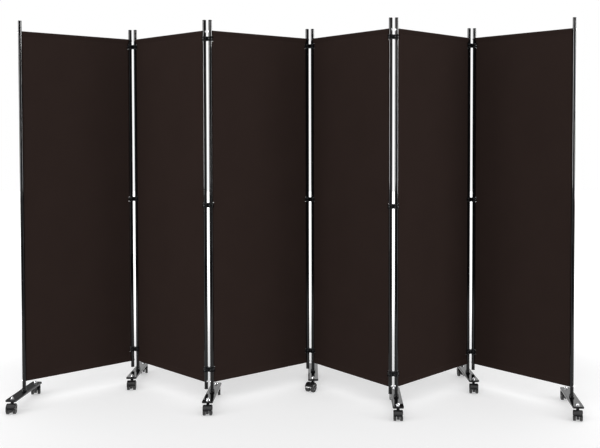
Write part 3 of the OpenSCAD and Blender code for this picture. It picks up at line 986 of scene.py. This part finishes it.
# %% Build the casters
for foot in range(1, len(FOOTED) + 1):
    for end in ("front", "back"):
        name = f"caster_{foot}_{end}"
        swivel, spin = pivot[f"{name}_swivel"], pivot[f"{name}_spin"]
        heading = (spin - swivel)[:2]
        lift = np.array([0, 0, WHEEL_R])
        parts = [(hood(), True, False), (web_plate(), True, False), (shoulder(), True, False)]
        moulding = [(placed(grid + lift, spin[:2], heading), *closed) for grid, *closed in parts]
        moulding.append((placed(boss() + lift, swivel[:2], heading), True, False))
        wear = np.concatenate([
            np.clip((np.hypot(grid[..., 0], grid[..., 2]) - HOOD_WEAR_FROM) / 0.001, 0, 0.6).ravel()
            for grid, _, _ in parts] + [np.zeros(boss()[..., 0].size)])
        make_piece(
            f"{name}_hood", moulding, caster_plastic, name,
            [f"{name}_housing"], 42, wear)
        wheels, worn = zip(*(wheel(side) for side in (-1, 1)))
        turning = [(placed(grid + lift, spin[:2], heading), True, False) for grid in (*wheels, axle())]
        worn = np.concatenate([w.ravel() for w in worn] + [np.zeros(axle()[..., 0].size)])
        make_piece(
            f"{name}_twin_wheels", turning, wheel_plastic, f"{name}_wheels",
            [f"{name}_wheels"], 42, worn)
print("casters made")

# %% [markdown]
# ## The studio
# The photograph was made on a white sweep: the floor is nearly white, with soft grey under the screen, and
# it runs into a white background. A soft sky lights the screen, mostly from in front, and two tall soft lamps
# stand left and right of the camera. The bright lines on the glossy posts come mostly from two bright strips
# in the sky, which only glossy rays see. Between the strips those rays see a dark room.

# %% Floor
FLOOR_HALF, FLOOR_ROWS = 14.0, 9
floor_mesh = bpy.data.meshes.new("floor")
floor_side = np.linspace(-FLOOR_HALF, FLOOR_HALF, FLOOR_ROWS)
floor_points = grid_of(floor_side, floor_side[:, None], 0.0)
floor_quads = grid_faces(FLOOR_ROWS, FLOOR_ROWS, False, False, 0)
floor_mesh.from_pydata(floor_points.reshape(-1, 3), [], floor_quads)
floor = in_scene("floor", floor_mesh)

# %% The floor's paper
PAPER_GREY, ROOM_GREY = (0.74, 0.74, 0.744), (0.02, 0.02, 0.02)
PAPER_GLOW, FAR_GLOW = 0.37, 1.0
PAPER_END, GLOW_FADE, GLOW_SQUEEZE = (-2.4, -1.4), (0.9, 2.2), (0.62, 0.85, 0.0)


def floor_finish():
    """Pale paper that shows shadows, with a white glow that grows away from the screen.

    A glossy piece also sees where the paper ends, in front of the camera, and the dark floor beyond.
    """
    material = bpy.data.materials.new("studio_floor")
    material.use_nodes = True
    tree = material.node_tree
    tree.nodes.remove(tree.nodes["Principled BSDF"])
    wire = Wire(tree)
    place = object_place(wire)
    flattened = wire.node("ShaderNodeMapping", sockets={"Vector": place, "Scale": GLOW_SQUEEZE})
    distance = wire.node("ShaderNodeVectorMath", {"operation": "LENGTH"}, {0: flattened}, out=1)
    away = distance.between(*GLOW_FADE)
    paper = wire.node("ShaderNodeSeparateXYZ", sockets={0: place}).output("Y").between(*PAPER_END)
    ray = wire.node("ShaderNodeLightPath")
    glossy = ray.output("Is Glossy Ray")
    pale = wire.node("ShaderNodeBsdfDiffuse", sockets={
        "Color": mixed(wire, glossy * (1.0 - paper), PAPER_GREY, ROOM_GREY)})
    seen = wire.math("MAXIMUM", ray, glossy * paper)
    glow = wire.node("ShaderNodeEmission", sockets={
        "Color": (1.0, 1.0, 1.0, 1.0), "Strength": seen * (PAPER_GLOW + (FAR_GLOW - PAPER_GLOW) * away)})
    surface = wire.node("ShaderNodeAddShader", sockets={0: pale, 1: glow})
    tree.links.new(surface.socket, tree.nodes["Material Output"].inputs["Surface"])
    return material


floor_mesh.materials.append(floor_finish())

# %% Sky
world = bpy.data.worlds.new("white_studio")
bpy.context.scene.world = world
world.use_nodes = True


SOFT_LIGHT, FRONT_LIGHT, BACK_LIGHT = 0.50, 1.35, 0.50
FRONT_FADE, BACK_FADE = (-0.95, -0.1), (0.1, 0.95)
DARK_ROOM, DIM_WALL = 0.010, 0.20
BACKDROP_SIDES = (-17.0, 35.0)
LEFT_STRIP, RIGHT_STRIP = (-121.0, -109.0), (84.0, 96.0)
LEFT_GLOW, RIGHT_GLOW, STRIP_BLUR = 36.0, 70.0, 0.04
WALL_RISE, CEILING_RISE = (0.18, 0.30), (0.55, 0.75)


def studio_sky():
    """White to the camera, and a plain soft light with more from in front and a little more from behind.

    A glossy piece sees a white backdrop, a pale ceiling, two bright strips at the sides and a dark room. The
    azimuth goes from +Y, where the backdrop is, towards +X.
    """
    tree = world.node_tree
    wire = Wire(tree)
    sideways = wire.node("ShaderNodeSeparateXYZ", sockets={0: wire.node("ShaderNodeTexCoord")})
    ahead, up = sideways.output("Y"), sideways.output("Z")
    azimuth = wire.math("ARCTAN2", sideways, ahead)

    def edge(side):
        angle = math.radians(side)
        return azimuth.between(angle - STRIP_BLUR, angle + STRIP_BLUR)

    def sector(sides):
        return edge(sides[0]) * (1.0 - edge(sides[1]))

    ray = wire.node("ShaderNodeLightPath")
    glossy = ray.output("Is Glossy Ray")
    wall = up.between(*WALL_RISE)
    strips = (sector(LEFT_STRIP) * LEFT_GLOW + sector(RIGHT_STRIP) * RIGHT_GLOW) * (1.0 - wall)
    white = wire.math("MAXIMUM", sector(BACKDROP_SIDES), up.between(*CEILING_RISE))
    room = DARK_ROOM + (DIM_WALL - DARK_ROOM) * wall
    mirrored = wire.math("MAXIMUM", white, room) + strips
    in_front, behind = 1.0 - ahead.between(*FRONT_FADE), ahead.between(*BACK_FADE)
    soft = SOFT_LIGHT + FRONT_LIGHT * in_front + BACK_LIGHT * behind
    lit = soft + glossy * (mirrored - soft)
    strength = lit + ray * (1.0 - lit)
    back = tree.nodes["Background"]
    back.inputs["Color"].default_value = (1.0, 1.0, 1.0, 1.0)
    tree.links.new(strength.socket, back.inputs["Strength"])


studio_sky()


# %% Lamps
LAMP_W, LAMP_H, LAMP_RADIANCE = 1.1, 2.5, 4.0
LAMP_AIM = (0.0, 0.0, 1.0)


def soft_lamp(name, place):
    """A tall soft box that looks at the screen. Its power is radiance times pi times its area."""
    data = bpy.data.lights.new(name, "AREA")
    data.shape, data.size, data.size_y = "RECTANGLE", LAMP_W, LAMP_H
    data.energy = LAMP_RADIANCE * math.pi * LAMP_W * LAMP_H
    lamp = in_scene(name, data)
    lamp.location = place
    x, y, z = np.subtract(LAMP_AIM, place)
    tilt, heading = math.atan2(z, math.hypot(x, y)), math.atan2(y, x)
    lamp.rotation_euler = (math.pi / 2 + tilt, 0.0, heading - math.pi / 2)
    lamp.visible_camera = False


soft_lamp("left_soft_box", (-4.1, -2.5, 1.25))
soft_lamp("right_soft_box", (4.2, -2.2, 1.25))
bpy.context.scene.view_settings.view_transform = "Standard"
print("studio made")
